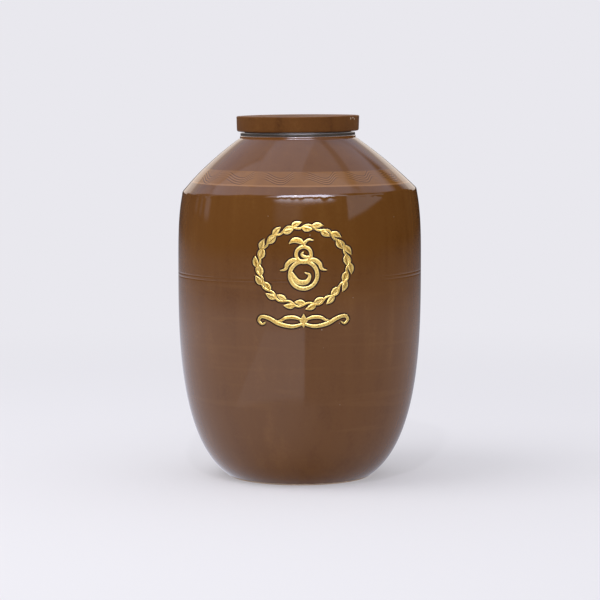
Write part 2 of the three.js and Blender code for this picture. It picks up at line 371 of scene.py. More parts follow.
def wall_wobble(angle, height):
    """Slow unevenness of the turned wall and of the glaze on it, without the seam's grooves."""
    slow = smooth_noise(angle, height, 3, 9, 5, 0.16)
    quick = smooth_noise(angle, height, 8, 16, 22, 0.035)
    rings = smooth_noise(0 * angle, height, 5, 6, 0, 0.011)
    return 0.11 * MM * slow + 0.018 * MM * quick + 0.008 * MM * rings


def comb_part(angle):
    """How far round its own swag a point is, from 0 to 1."""
    jar = bpy.context.scene.wine_jar
    return np.mod(angle * jar.comb_swags / TURN + 0.9 + 0.05 * smooth_noise(angle, 0, 17, 6, 9, 1.0), 1)


def comb_centre(angle):
    """Height of the middle of the comb: each swag sinks gently, runs level and climbs fast."""
    jar = bpy.context.scene.wine_jar
    part = comb_part(angle)
    sink = smooth_step(part, 0.02, 0.5)
    climb = smooth_step(part, 0.52, 0.8)
    middle = (BAND_LOW + BAND_HIGH) / 2 + 0.8 * MM
    swing = jar.comb_swing * (1 + 0.14 * smooth_noise(angle, 0 * angle, 19, 6, 9, 1.0))
    return middle + swing * (0.5 - sink + 1.15 * climb)


def comb_phase(angle, radius, height, outside):
    """How many teeth of the comb a point is above the middle of the comb's path."""
    jar = bpy.context.scene.wine_jar
    drift = 0.1 * smooth_noise(angle, 0 * height, 21, 8, 40, 1.0)
    return (height - comb_centre(angle)) / jar.comb_pitch + drift


def comb_mask(angle, radius, height, outside):
    """1 where the comb has touched the band: it fades at its outer teeth and between the swags."""
    jar = bpy.context.scene.wine_jar
    phase = np.abs(comb_phase(angle, radius, height, outside))
    inside = np.clip((jar.comb_teeth / 2 - phase) * 4, 0, 1)
    part = comb_part(angle)
    lifted = smooth_step(part, 0.02, 0.16) * (1 - smooth_step(part, 0.72, 0.84))
    band = np.clip((height - BAND_LOW) / MM, 0, 1) * np.clip((BAND_HIGH - height) / MM, 0, 1)
    return inside * band * (0.12 + 0.88 * lifted) * (outside > 0.5)


def half_turned(angle):
    """The same direction as an angle between minus and plus half a turn."""
    return np.mod(angle + math.pi, TURN) - math.pi


def seam_relief(angle, height):
    """The seam: a groove below and one above a low ridge. It was rubbed almost flat in front, and
    its depth wanders round the jar."""
    jar = bpy.context.scene.wine_jar
    away = height - SEAM_HEIGHT - 0.5 * MM * smooth_noise(angle, 0 * height, 51, 7, 9, 1.0)
    grooves = -bell(away - SEAM_HALF_RIDGE, 0.8 * MM) - bell(away + SEAM_HALF_RIDGE, 0.8 * MM)
    from_front = np.abs(half_turned(angle))
    rubbed = 0.1 + 0.9 * smooth_step(from_front, 0.6, 1.2)
    ragged = np.clip(0.8 + 0.5 * smooth_noise(angle, height, 53, 14, 60, 0.01), 0, 1.5)
    return jar.seam_depth * rubbed * ragged * (grooves + 0.4 * bell(away, MM))


def lower_relief(angle, radius, height, outside):
    """Wobble of the wall, and the lower half of the seam."""
    seam = seam_relief(angle, height)
    foot = np.clip((height - FOOT_HEIGHT) / (12 * MM), 0, 1)
    return outside * (foot * wall_wobble(angle, height) + seam)


def drip_lip(angle, height):
    """The thick edge where the shoulder's glaze has rolled over the crease: a small step whose
    lower line wanders round the jar."""
    low = EDGE_HEIGHT - 3.4 * MM + 1.3 * MM * smooth_noise(angle, 0 * height, 31, 26, 110, 1.0)
    below = 1 / (1 + np.exp(-(height - low) / (0.5 * MM)))
    above = 1 / (1 + np.exp((height - EDGE_HEIGHT - 1 * MM) / (0.8 * MM)))
    return below * above


def upper_relief(angle, radius, height, outside):
    """Wobble, the seam, the glaze's lip at the crease, the raised slip band and its combed lines."""
    jar = bpy.context.scene.wine_jar
    phase = comb_phase(angle, radius, height, outside)
    teeth = comb_mask(angle, radius, height, outside) * -(0.5 - 0.5 * np.cos(TURN * phase)) ** 4
    band = smooth_step(height, BAND_LOW, BAND_LOW + 0.8 * MM)
    band = band * (1 - smooth_step(height, BAND_HIGH - 0.8 * MM, BAND_HIGH))
    plain = wall_wobble(angle, height) + seam_relief(angle, height)
    plain = plain + jar.lip_height * drip_lip(angle, height)
    return outside * (plain + jar.comb_depth * teeth + jar.band_height * band)


# ---------------------------------------------------------------- pieces turned on the wheel


def jar_lower_section():
    """Foot ring, floor and wall up to the seam, one closed shell."""
    foot_edge = wall_radius(FOOT_HEIGHT) - 2.3 * MM
    inner_low = wall_points(np.array([16 * MM]), WALL)[0]
    outer = wall_points(np.linspace(FOOT_HEIGHT, SEAM_HEIGHT, 240))
    inner = wall_points(np.linspace(SEAM_HEIGHT, 16 * MM, 120), WALL)
    inner[0, 1] = SEAM_HEIGHT
    recess = foot_edge - FOOT_WIDTH - FOOT_RECESS
    path = np.vstack([
        labelled([[0, FOOT_RECESS], [recess, FOOT_RECESS], [foot_edge - FOOT_WIDTH, 0], [foot_edge, 0]], 0),
        labelled(outer, 1),
        labelled(inner, 0),
        labelled([[inner_low[0] - 9 * MM, FLOOR_HEIGHT], [0, FLOOR_HEIGHT]], 0),
    ])
    corners = [
        (recess, FOOT_RECESS, 1.5 * MM),
        (foot_edge - FOOT_WIDTH, 0, 1.2 * MM),
        (foot_edge, 0, 1.2 * MM),
        (wall_radius(FOOT_HEIGHT), FOOT_HEIGHT, 1.5 * MM),
        (inner[0, 0], SEAM_HEIGHT, 0.35 * MM),
        (inner_low[0], inner_low[1], 8 * MM),
        (inner_low[0] - 9 * MM, FLOOR_HEIGHT, 8 * MM),
    ]

    def spacing(fine):
        """Close rows at the foot and the seam, wide ones inside."""
        outside = fine[:, 2] > 0.5
        wanted = np.where(outside, 2.6 * MM, 6 * MM)
        seam = np.abs(fine[:, 1] - SEAM_HEIGHT)
        wanted = np.where(outside & (seam < 5 * MM), 0.4 * MM, wanted)
        wanted = np.where(outside & (fine[:, 1] < 12 * MM), 0.9 * MM, wanted)
        return np.where(fine[:, 1] < 4 * MM, 1.2 * MM, wanted)

    rows = rows_with_spacing(softened(path, corners), spacing)
    return snapped(rows, wall_radius(SEAM_HEIGHT), SEAM_HEIGHT)


def jar_upper_section():
    """Wall above the seam, shoulder, neck and rim, one closed ring."""
    outer = wall_points(np.linspace(SEAM_HEIGHT, EDGE_HEIGHT, 120))
    shoulder = shoulder_points(np.linspace(0.002, 0.985, 160))
    inner_shoulder = shoulder_points(np.linspace(0.86, 0.1, 60), WALL)
    inner = wall_points(np.linspace(EDGE_HEIGHT - 20 * MM, SEAM_HEIGHT, 40), WALL)
    inner[-1, 1] = SEAM_HEIGHT
    path = np.vstack([
        labelled([inner[-1]], 0),
        labelled(outer, 1),
        labelled(shoulder, 1),
        labelled([[NECK_RADIUS, NECK_FOOT_HEIGHT - MM], [NECK_RADIUS, RIM_HEIGHT]], 1),
        labelled([[BORE_RADIUS, RIM_HEIGHT], [BORE_RADIUS, RIM_HEIGHT - BORE_DEPTH]], 0),
        labelled(inner_shoulder, 0),
        labelled(inner, 0),
    ])
    corners = [
        (EDGE_RADIUS, EDGE_HEIGHT, EDGE_ROUND),
        (NECK_RADIUS, NECK_FOOT_HEIGHT - MM, 1.6 * MM),
        (NECK_RADIUS, RIM_HEIGHT, 1.5 * MM),
        (BORE_RADIUS, RIM_HEIGHT, 1.5 * MM),
        (BORE_RADIUS, RIM_HEIGHT - BORE_DEPTH, 4 * MM),
        (inner_shoulder[-1, 0], inner_shoulder[-1, 1], 6 * MM),
        (inner[0, 0], inner[0, 1], 6 * MM),
    ]

    def spacing(fine):
        """Close rows at the seam, the crease, the combed band and the rim, wide ones inside."""
        outside = fine[:, 2] > 0.5
        wanted = np.where(outside, 4.2 * MM, 12 * MM)
        seam = np.abs(fine[:, 1] - SEAM_HEIGHT)
        wanted = np.where(outside & (seam < 5 * MM), 0.5 * MM, wanted)
        crease = np.abs(fine[:, 1] - EDGE_HEIGHT + 0.5 * MM)
        wanted = np.where(outside & (crease < 6 * MM), 0.6 * MM, wanted)
        band = (fine[:, 1] > BAND_LOW - MM) & (fine[:, 1] < BAND_HIGH + MM)
        wanted = np.where(outside & band, 0.62 * MM, wanted)
        return np.where(outside & (fine[:, 1] > NECK_FOOT_HEIGHT - 4 * MM), 0.7 * MM, wanted)

    rows = rows_with_spacing(softened(path, corners), spacing)
    return snapped(rows, wall_radius(SEAM_HEIGHT), SEAM_HEIGHT)


def lid_profile():
    """Disc with a slightly flared rim, and under it a locating spigot round a shallow recess."""
    recess_top = LID_UNDERSIDE + LID_RECESS_DEPTH
    low = LID_RADIUS - LID_FLARE
    path = np.vstack([
        labelled([[0, recess_top], [LID_RECESS_RADIUS, recess_top], [LID_RECESS_RADIUS, LID_BOX[0].z]], 0),
        labelled([[SPIGOT_RADIUS, LID_BOX[0].z], [SPIGOT_RADIUS, LID_UNDERSIDE]], 0),
        labelled([[low, LID_UNDERSIDE], [LID_RADIUS, LID_TOP], [0, LID_TOP]], 1),
    ])
    corners = [
        (LID_RECESS_RADIUS, recess_top, 3 * MM),
        (LID_RECESS_RADIUS, LID_BOX[0].z, 1.5 * MM),
        (SPIGOT_RADIUS, LID_BOX[0].z, 1.5 * MM),
        (SPIGOT_RADIUS, LID_UNDERSIDE, 1 * MM),
        (low, LID_UNDERSIDE, 2.8 * MM),
        (LID_RADIUS, LID_TOP, 1.5 * MM),
    ]

    def spacing(fine):
        """Close rows round the rim."""
        rim = fine[:, 0] > LID_RADIUS - 5 * MM
        return np.where(rim, 0.55 * MM, 2.5 * MM)

    return rows_with_spacing(softened(path, corners), spacing)


def lid_relief(angle, radius, height, outside):
    """Slow unevenness of the lid within a few millimetres of its rim, and small chips at its upper edge."""
    slow = 0.12 * MM * smooth_noise(angle, radius + height, 41, 8, 4, 0.09)
    quick = 0.02 * MM * smooth_noise(angle, radius + height, 44, 12, 26, 0.03)
    edge = np.clip((radius - LID_RADIUS + 6 * MM) / (6 * MM), 0, 1)
    chips = lid_chips(angle, radius, height, outside)
    return outside * (edge * (slow + quick) - 0.35 * MM * chips)


def lid_chips(angle, radius, height, outside):
    """Chips in the lid's glaze: short oval blobs at a few places round it, each some way down from
    the upper edge."""
    total = 0 * angle
    for place, down, width, tall in LID_CHIPS:
        away = half_turned(angle - place) * LID_RADIUS
        drop = (LID_TOP - height) + (LID_RADIUS - radius) - down * MM
        total = total + np.exp(-((away / (width * MM)) ** 2) - (drop / (tall * MM)) ** 2)
    return np.clip(total, 0, 1) * outside


def seal_profile():
    """Flange on the rim, a bead that carries the lid, and a skirt in the bore."""
    flange = RIM_HEIGHT + SEAL_FLANGE
    skirt_out = BORE_RADIUS - SEAL_CLEARANCE
    skirt_in = SPIGOT_RADIUS + SEAL_CLEARANCE
    low = SEAL_BOX[0].z
    corners = [
        (skirt_in, low, 0.5 * MM),
        (skirt_out, low, 0.5 * MM),
        (SEAL_RADIUS, RIM_HEIGHT, 0.9 * MM),
        (SEAL_RADIUS, flange, 1.2 * MM),
        (SEAL_BEAD_RADIUS, flange, 0.4 * MM),
        (SEAL_BEAD_RADIUS, LID_UNDERSIDE, 0.5 * MM),
    ]
    middle = (low + LID_UNDERSIDE) / 2
    path = labelled([
        [skirt_in, middle], [skirt_in, low], [skirt_out, low], [skirt_out, RIM_HEIGHT],
        [SEAL_RADIUS, RIM_HEIGHT], [SEAL_RADIUS, flange], [SEAL_BEAD_RADIUS, flange],
        [SEAL_BEAD_RADIUS, LID_UNDERSIDE], [skirt_in, LID_UNDERSIDE], [skirt_in, middle],
    ], 1)
    return rows_with_spacing(softened(path, corners), lambda fine: np.full(len(fine), 0.6 * MM))


# ---------------------------------------------------------------- gold strokes


def spline_through(points, count):
    """A Catmull-Rom curve through a few points, as `count` points evenly spaced along it."""
    given = np.array(points, float)
    padded = np.vstack([2 * given[0] - given[1], given, 2 * given[-1] - given[-2]])
    pieces = []
    for i in range(len(given) - 1):
        p0, p1, p2, p3 = padded[i : i + 4]
        t = np.linspace(0, 1, 40, endpoint=False)[:, None]
        cubic = 2 * p1 + (p2 - p0) * t + (2 * p0 - 5 * p1 + 4 * p2 - p3) * t**2
        pieces.append((cubic + (3 * p1 - 3 * p2 + p3 - p0) * t**3) / 2)
    curve = np.vstack([*pieces, given[-1:]])
    length = arc_length(curve)
    return resampled(curve, length, np.linspace(0, length[-1], count))


def brush_widths(widths, count):
    """Half-widths along a stroke: a quadratic curve from the first, past the second, to the third."""
    t = np.linspace(0, 1, count)
    first, middle, last = widths
    return (1 - t) ** 2 * first + 2 * t * (1 - t) * middle + t**2 * last


def rounded_ends(centre, half):
    """Narrows a stroke to nothing at its two ends on a half circle of its own half-width."""
    length = arc_length(centre)
    inset = np.minimum(length, length[-1] - length)
    reach = np.maximum(np.where(length < length[-1] / 2, half[0], half[-1]), 1e-6)
    share = np.clip(inset / reach, 0, 1)
    return half * np.sqrt(np.clip(1 - (1 - share) ** 2, 0, 1))


def stroke_strip(centre, half, closed=False, rib=0.0):
    """One raised stroke on the flat view, as a grid of (x, y, height, edge, vein) points. Its section is
    a low pillow between -1 and 1, with a thin flat outline beyond it and a foot sunk in the wall.
    rib cuts a fine groove along the middle."""
    jar = bpy.context.scene.wine_jar
    wrapped = np.vstack([centre[-1:], centre, centre[:1]]) if closed else centre
    tangent = np.gradient(wrapped, axis=0)
    tangent = unit(tangent[1:-1] if closed else tangent)
    sideways = np.column_stack([-tangent[:, 1], tangent[:, 0]])
    across = np.sin(np.linspace(-math.pi / 2, math.pi / 2, ACROSS_STROKE))
    outline = jar.outline_width
    offset = np.concatenate([[-1, -1], across, [1, 1]])
    extra = np.concatenate([[-outline, -outline], 0 * across, [outline, outline]])
    lift = (1 - np.abs(across) ** 3) * jar.gold_height
    lift = lift - rib * jar.gold_height * bell(across, VEIN_WIDTH) + STROKE_LIFT
    tall = np.clip(half / (1.2 * MM), 0.15, 1)[:, None]
    rise = np.concatenate([[-OUTLINE_SINK, OUTLINE_RISE], lift, [OUTLINE_RISE, -OUTLINE_SINK]])[None, :]
    column = np.arange(len(offset))
    rise = np.where((column > 1) & (column < len(offset) - 2), rise * tall, rise)
    half = half * (1 - 0.25 * MM / np.maximum(half, 1 * MM))
    reach = half[:, None] * offset[None, :] + extra[None, :]
    flat = centre[:, None, :] + sideways[:, None, :] * reach[..., None]
    if not closed:
        flat[0] -= tangent[0] * outline * np.cos(offset * math.pi / 2)[:, None] * 0.8
        flat[-1] += tangent[-1] * outline * np.cos(offset * math.pi / 2)[:, None] * 0.8
    edge = np.concatenate([[OUTLINE_EDGE] * 2, np.abs(across), [OUTLINE_EDGE] * 2])
    edge = np.broadcast_to(edge, reach.shape).copy()
    vein = np.full(reach.shape, rib)
    if not closed:
        edge[[0, -1]] = OUTLINE_EDGE
        rise = np.array(np.broadcast_to(rise, reach.shape))
        rise[[0, -1]] = np.minimum(rise[[0, -1]], OUTLINE_RISE)
    rise = np.broadcast_to(rise, reach.shape)
    return np.concatenate([flat, np.stack([rise, edge, vein], -1)], -1)


def laid_on_jar(flat, height):
    """Moves flat points (x, y, rise) straight back onto the wall: the angle round the jar is the
    arc sine of x over the radius, and the rise is added to the radius there."""
    level = height + flat[..., 1]
    radius = wall_radius(level)
    angle = np.arcsin(np.clip(flat[..., 0] / radius, -1, 1)) + ORNAMENT_TURN
    radius = radius + wall_wobble(angle, level) + flat[..., 2]
    return leaned(np.stack([radius * np.sin(angle), -radius * np.cos(angle), level], -1))


def ornament_object(name, strips, height):
    """Joins strips, each a (grid, closed) pair, into one mesh laid on the jar."""
    vertices, faces, edges, veins, tones = [], [], [], [], []
    start = 0
    draw = np.random.default_rng(len(strips))
    for grid, closed in strips:
        rows, columns = grid.shape[:2]
        quads = grid_faces(rows, columns, closed, True)
        if not closed:
            caps = [np.arange(columns), np.arange(columns) + (rows - 1) * columns]
            middle = columns // 2
            for cap, turned in zip(caps, (True, False)):
                left, right = cap[:middle], cap[::-1][:middle]
                left, right = (right, left) if turned else (left, right)
                strip = np.stack([left[:-1], left[1:], right[1:], right[:-1]], -1)
                tip = np.array([[left[-1], cap[middle], right[-1], right[-1]]])
                quads = np.vstack([quads, strip, tip])
        vertices.append(laid_on_jar(grid, height).reshape(-1, 3))
        edges.append(grid[..., 3].ravel())
        veins.append(grid[..., 4].ravel())
        tones.append(np.full(rows * columns, draw.uniform()))
        faces.append(quads + start)
        start += rows * columns
    values = {"edge": edges, "vein": veins, "tone": tones}
    values = {label: np.concatenate(parts) for label, parts in values.items()}
    return mesh_object(name, np.vstack(vertices), np.vstack(faces), values)


def brush(points, widths, count=90):
    """An open stroke with rounded ends through points given in millimetres."""
    centre = spline_through(np.array(points) * MM, count)
    half = rounded_ends(centre, brush_widths(np.array(widths) * MM, count))
    return stroke_strip(centre, half), False


def mirrored(points):
    """The same points on the other side of the ornament's middle line."""
    return [(-x, y) for x, y in points]


def circle(x, y, radius, half):
    """A closed round stroke, in millimetres."""
    angle = np.linspace(0, TURN, 120, endpoint=False)
    centre = np.column_stack([x + radius * np.cos(angle), y + radius * np.sin(angle)]) * MM
    return stroke_strip(centre, np.full(len(angle), half * MM), closed=True), True


def stem_points(angle):
    """The wavy stem: an ellipse whose radius swings in and out a whole number of times."""
    ellipse = np.column_stack([VINE_HALF_WIDTH * np.cos(angle), VINE_HALF_HEIGHT * np.sin(angle)])
    length = np.linalg.norm(ellipse, axis=1, keepdims=True)
    return ellipse * (1 + VINE_SWING * np.sin(VINE_WAVES * angle)[:, None] / length)


def vine_leaf(angle, side):
    """A pointed leaf that leaves the stem clockwise: a straight rib with a swelling half-width."""
    base = stem_points(np.array([angle]))[0]
    ahead = stem_points(np.array([angle - 0.02]))[0] - base
    heading = math.atan2(ahead[1], ahead[0]) + side * LEAF_LEAN
    t = np.linspace(0, 1, 36)
    bend = side * 0.9 * MM * np.sin(math.pi * t)
    along = np.array([math.cos(heading), math.sin(heading)])
    across = np.array([-along[1], along[0]])
    centre = base + LEAF_LENGTH * t[:, None] * along + bend[:, None] * across
    half = LEAF_WIDTH / 2 * np.sin(math.pi * t**0.8)
    return stroke_strip(centre, np.maximum(half, 0), rib=0.8), False


def vine_ring_strips():
    """The stem and its leaves, which take turns outside and inside it."""
    angle = np.linspace(0, TURN, VINE_WAVES * 28, endpoint=False)
    strips = [(stroke_strip(stem_points(angle), np.full(len(angle), VINE_STEM / 2), closed=True), True)]
    spacing = TURN / VINE_WAVES
    for wave in range(VINE_WAVES):
        strips.append(vine_leaf((wave + 0.1) * spacing, 1))
        strips.append(vine_leaf((wave + 0.6) * spacing, -1))
    return strips


def gourd_strips():
    """A bottle gourd in brush strokes: two chambers, a tied waist with tails, swirls and a leaf."""
    tail = [(2, 4.6), (13, 7), (21, 2), (24, -5), (31, -7)]
    return [
        circle(0, -13, 18.15, 2.35),
        circle(0, 14.5, 9.9, 2.1),
        brush([(-9, 4.6), (0, 4), (9, 4.6)], (1.6, 2.6, 1.6)),
        brush(tail, (1.4, 4.6, 0.3)),
        brush(mirrored(tail), (1.4, 4.6, 0.3)),
        brush([(-17.5, -9), (-8, -21.5), (4, -22), (8, -13.5), (1.5, -9.5)], (2.4, 5, 0.3)),
        brush([(8.5, 11), (3, 10.6), (-2.5, 14), (0, 18)], (1.6, 3, 0.3)),
        brush([(0, 24), (1, 29), (6, 33.5), (13, 33)], (1.6, 2.4, 0.4)),
        brush([(1, 27), (-6, 32.5), (-13, 33), (-19, 29)], (0.8, 6.6, 0.3)),
    ]


def cloud_scroll_strips():
    """A lozenge with two pairs of strokes that run out from it, the long pair curling in."""
    long = [(0, -4), (15, -7.4), (32, -4), (45, 3), (55, 5.4), (59, 0.5), (55, -4.6), (50, -2)]
    short = [(2, 1), (12, 4.6), (23, 4.2), (30, 0.4), (38, -0.4)]
    t = np.linspace(0, 1, 41)
    upright = np.column_stack([0 * t, (18.4 * t - 9.2) * MM])
    half = 5.4 * MM * (1 - np.abs(2 * t - 1))
    return [
        (stroke_strip(upright, half), False),
        brush(long, (1.4, 3.8, 0.8), 160),
        brush(mirrored(long), (1.4, 3.8, 0.8), 160),
        brush(short, (1.2, 3.4, 0.3)),
        brush(mirrored(short), (1.2, 3.4, 0.3)),
    ]


# ---------------------------------------------------------------- shader helpers


class Nodes:
    """Short calls that add and join shader nodes in one tree."""

    def __init__(self, tree):
        self.tree = tree

    def feed(self, node, inputs):
        """Gives each of a node's inputs a value, or joins it to an output."""
        for name, value in inputs.items():
            if isinstance(value, bpy.types.NodeSocket):
                self.tree.links.new(value, node.inputs[name])
            else:
                node.inputs[name].default_value = value

    def add(self, kind, inputs=None, **settings):
        """A node with its settings made and its inputs fed."""
        made = self.tree.nodes.new("ShaderNode" + kind)
        for name, value in settings.items():
            setattr(made, name, value)
        self.feed(made, inputs or {})
        return made

    def math(self, operation, first, second=0.0, third=0.0, clamp=False):
        """One Math node's output."""
        inputs = {0: first, 1: second, 2: third}
        return self.add("Math", inputs, operation=operation, use_clamp=clamp).outputs[0]

    def times(self, first, second):
        """The product of two values."""
        return self.math("MULTIPLY", first, second)

    def plus(self, first, second):
        """The sum of two values."""
        return self.math("ADD", first, second)

    def minus(self, first, second):
        """The first value less the second."""
        return self.math("SUBTRACT", first, second)

    def between(self, value, low, high, to_low=0.0, to_high=1.0):
        """value carried smoothly from one range to another, and held at its ends."""
        inputs = {"Value": value, "From Min": low, "From Max": high, "To Min": to_low, "To Max": to_high}
        made = self.add("MapRange", inputs, interpolation_type="SMOOTHSTEP")
        return made.outputs["Result"]

    def mix(self, factor, first, second):
        """A mix of two values."""
        return self.add("Mix", {0: factor, 2: first, 3: second}).outputs[0]

    def blend(self, factor, first, second):
        """A mix of two colours."""
        return self.add("Mix", {0: factor, 6: first, 7: second}, data_type="RGBA").outputs[2]

    def coat(self, base, mask, strength, over):
        """A base colour with another laid over it, as strongly as a share of a mask."""
        return self.blend(self.times(mask, strength), base, colour(over))

    def noise(self, vector, scale, detail=3.0, roughness=0.5, distortion=0.0):
        """A noise texture's value."""
        inputs = {"Vector": vector, "Scale": scale, "Detail": detail}
        inputs |= {"Roughness": roughness, "Distortion": distortion}
        return self.add("TexNoise", inputs).outputs[0]

    def attribute(self, name):
        """A value stored on the mesh."""
        return self.add("Attribute", attribute_name=name).outputs["Fac"]

    def bump(self, height, distance, strength=1.0):
        """A normal from a height."""
        inputs = {"Strength": strength, "Distance": distance, "Height": height}
        return self.add("Bump", inputs).outputs[0]

    def group(self, tree, inputs):
        """A node group's outputs."""
        return self.add("Group", inputs, node_tree=tree).outputs


def new_group(name, inputs, outputs):
    """An empty shader node group with named sockets, and its helper and two end nodes."""
    tree = bpy.data.node_groups.new(name, "ShaderNodeTree")
    for label, kind, default in inputs:
        socket = tree.interface.new_socket(label, in_out="INPUT", socket_type="NodeSocket" + kind)
        if default is not None:
            socket.default_value = default
    for label, kind in outputs:
        tree.interface.new_socket(label, in_out="OUTPUT", socket_type="NodeSocket" + kind)
    nodes = Nodes(tree)
    given = tree.nodes.new("NodeGroupInput").outputs
    result = tree.nodes.new("NodeGroupOutput").inputs
    return tree, nodes, given, result


def kiln_specks_group():
    """Sparse round specks, such as pinholes and iron spots: cells whose centre is near, of which
    only those with a high random value are kept."""
    sockets = [("Vector", "Vector", None), ("Scale", "Float", 120.0), ("Share", "Float", 0.03)]
    sockets += [("Size", "Float", 0.25)]
    tree, nodes, given, result = new_group("kiln_specks", sockets, [("Mask", "Float")])
    cells = nodes.add("TexVoronoi", {"Vector": given["Vector"], "Scale": given["Scale"]})
    random = nodes.add("SeparateColor", {0: cells.outputs["Color"]}).outputs[0]
    chosen = nodes.math("LESS_THAN", random, given["Share"])
    size = nodes.times(given["Size"], nodes.plus(0.4, random))
    near = nodes.between(cells.outputs["Distance"], size, nodes.times(size, 0.4))
    tree.links.new(nodes.times(near, chosen), result["Mask"])
    return tree


def wall_marks_group():
    """Small round marks at given places on the front of the wall: 1 within a radius of each, in the flat
    front view. The two at the neck are painted highlights, the others bare spots."""
    tree, nodes, given, result = new_group("wall_marks", [("Vector", "Vector", None)], [("Mask", "Float")])
    ragged = nodes.times(nodes.minus(nodes.noise(given["Vector"], 900.0), 0.5), 2 * MM)
    front = nodes.add("Mapping", {"Vector": given["Vector"], "Scale": (1, 0.02, 1)}).outputs[0]
    mask = 0.0
    for across, height, size in WALL_MARKS_AND_GLINTS:
        place = (across * MM, -0.02 * BELLY_RADIUS, height * MM)
        away = nodes.add("VectorMath", {0: front, 1: place}, operation="DISTANCE").outputs["Value"]
        away = nodes.plus(away, ragged)
        mask = nodes.math("MAXIMUM", nodes.between(away, size * MM, 0.4 * size * MM), mask)
    tree.links.new(mask, result["Mask"])
    return tree


def glaze_depth_group():
    """Colour of a see-through glaze that lies thicker in some places: slow clouds, fine mottle and
    faint runs downwards between a thin and a deep colour."""
    sockets = [("Vector", "Vector", None), ("Thin", "Color", None), ("Middle", "Color", None)]
    sockets += [("Deep", "Color", None), ("Mottle", "Float", 0.5)]
    outputs = [("Color", "Color"), ("Depth", "Float")]
    tree, nodes, given, result = new_group("glaze_depth", sockets, outputs)
    clouds = nodes.noise(given["Vector"], 7.0, 3.0)
    stretched = nodes.add("Mapping", {"Vector": given["Vector"], "Scale": (1, 1, 0.12)}).outputs[0]
    runs = nodes.noise(stretched, 55.0, 3.0)
    fine = nodes.noise(given["Vector"], 240.0, 4.0, 0.65)
    slow = nodes.plus(nodes.times(clouds, 0.6), nodes.times(runs, 0.4))
    grain = nodes.times(nodes.minus(fine, 0.5), given["Mottle"])
    depth = nodes.math("ADD", slow, grain, clamp=True)
    deep = nodes.between(depth, 0.5, 0.72)
    thin = nodes.between(depth, 0.5, 0.28)
    colour = nodes.blend(deep, given["Middle"], given["Deep"])
    tree.links.new(nodes.blend(thin, colour, given["Thin"]), result["Color"])
    tree.links.new(depth, result["Depth"])
    return tree


def glaze_skin_group():
    """The fired surface: ripples as of orange peel for a bump, and a roughness with rubbed patches
    and fine scratches."""
    sockets = [("Vector", "Vector", None), ("Gloss", "Float", 0.1), ("Rubbed", "Float", 0.12)]
    outputs = [("Roughness", "Float"), ("Height", "Float")]
    tree, nodes, given, result = new_group("glaze_skin", sockets, outputs)
    peel = nodes.noise(given["Vector"], 150.0, 2.0)
    swell = nodes.noise(given["Vector"], 38.0, 2.0)
    height = nodes.plus(nodes.times(peel, 0.22), nodes.times(swell, 0.78))
    patches = nodes.between(nodes.noise(given["Vector"], 11.0, 5.0, 0.62), 0.5, 0.72)
    flat = nodes.add("Mapping", {"Vector": given["Vector"], "Scale": (1, 1, 6.0)}).outputs[0]
    scratches = nodes.between(nodes.noise(flat, 90.0, 6.0, 0.8), 0.62, 0.74)
    worn = nodes.math("MAXIMUM", patches, nodes.times(scratches, 0.6))
    rough = nodes.math("MULTIPLY_ADD", worn, given["Rubbed"], given["Gloss"])
    tree.links.new(rough, result["Roughness"])
    tree.links.new(height, result["Height"])
    return tree


def shader_group(name):
    """The node group of that name, built the first time it is asked for."""
    makers = {
        "kiln_specks": kiln_specks_group,
        "wall_marks": wall_marks_group,
        "glaze_depth": glaze_depth_group,
        "glaze_skin": glaze_skin_group,
    }
    return bpy.data.node_groups.get(name) or makers[name]()


def empty_tree(owner):
    """The helper for the emptied node tree of a material or world."""
    owner.use_nodes = True
    owner.node_tree.nodes.clear()
    return Nodes(owner.node_tree)


def new_material(name):
    """A material with an empty Principled surface, its helper, and object coordinates."""
    material = bpy.data.materials.new(name)
    nodes = empty_tree(material)
    surface = nodes.add("BsdfPrincipled")
    output = nodes.add("OutputMaterial")
    material.node_tree.links.new(surface.outputs[0], output.inputs["Surface"])
    place = nodes.add("TexCoord").outputs["Object"]
    return material, nodes, surface, place


def colour(value):
    """An RGBA tuple from a colour property."""
    return (*value, 1.0)


# ---------------------------------------------------------------- materials


def speckled(nodes, place, scale, share, size):
    """A mask of sparse specks."""
    inputs = {"Vector": place, "Scale": scale, "Share": share, "Size": size}
    return nodes.group(shader_group("kiln_specks"), inputs)["Mask"]


def see_through(nodes, place, thin, middle, deep, mottle):
    """The clouded colour of a glaze."""
    inputs = {"Vector": place, "Thin": colour(thin), "Middle": colour(middle)}
    inputs |= {"Deep": colour(deep), "Mottle": mottle}
    return nodes.group(shader_group("glaze_depth"), inputs)["Color"]


def fired_skin(nodes, place, gloss, rubbed):
    """Roughness and ripple height of a glaze."""
    skin = nodes.group(shader_group("glaze_skin"), {"Vector": place, "Gloss": gloss, "Rubbed": rubbed})
    return skin["Roughness"], skin["Height"]


